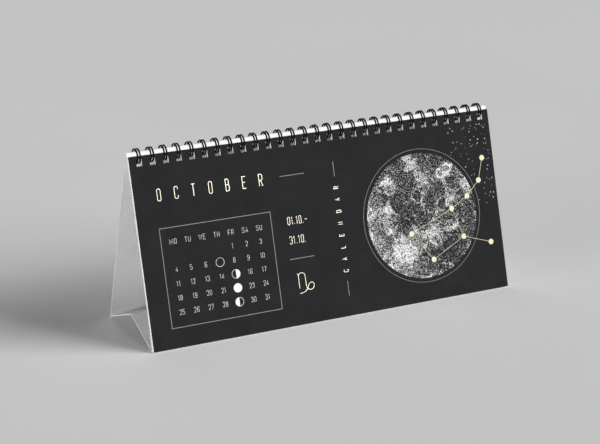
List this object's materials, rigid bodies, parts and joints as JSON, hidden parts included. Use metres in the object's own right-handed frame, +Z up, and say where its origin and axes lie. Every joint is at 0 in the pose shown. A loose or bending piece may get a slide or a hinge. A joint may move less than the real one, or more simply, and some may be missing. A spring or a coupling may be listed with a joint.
{
  "type": "desk calendar",
  "caption": "Tent-shaped desk calendar: a folded card stand with dark printed leaves hung from a twin-loop wire along its ridge.",
  "frame": {"origin": "middle of the footprint, on the surface the calendar stands on", "axes": "+X along the binding, from the left to the right end as the print is read; +Y from the printed front to the back panel; +Z up"},
  "size_m": [0.25, 0.0718, 0.1172],
  "materials": {
    "white_card": "matt white card, 0.6 mm",
    "black_wire": "black nylon-coated steel wire, semi-gloss",
    "leaf_paper": "white art paper, matt, printed black on its front",
    "black_print": "matt black print on art paper",
    "grey_print": "stippled grey print",
    "line_print": "fine printed lines, dull gold",
    "gold_print": "pale gold print",
    "white_print": "white print"
  },
  "bodies": {
    "stand": {"easel": "white_card", "wire_binding": "black_wire", "leaf_block": "leaf_paper"},
    "turning_leaf": {"front_leaf": "black_print", "print_moon": "grey_print", "print_moon_ring": "line_print", "print_star_figure": "gold_print", "print_star_field": "gold_print", "print_date_frame": "line_print", "print_phases": "white_print", "print_rules": "line_print"}
  },
  "joints": [
    {"name": "leaf_turn", "type": "hinge", "parent": "stand", "child": "turning_leaf", "pos_m": [0, -0.00187, 0.11235], "axis": [-1, 0, 0], "range_deg": [0, 200]}
  ]
}
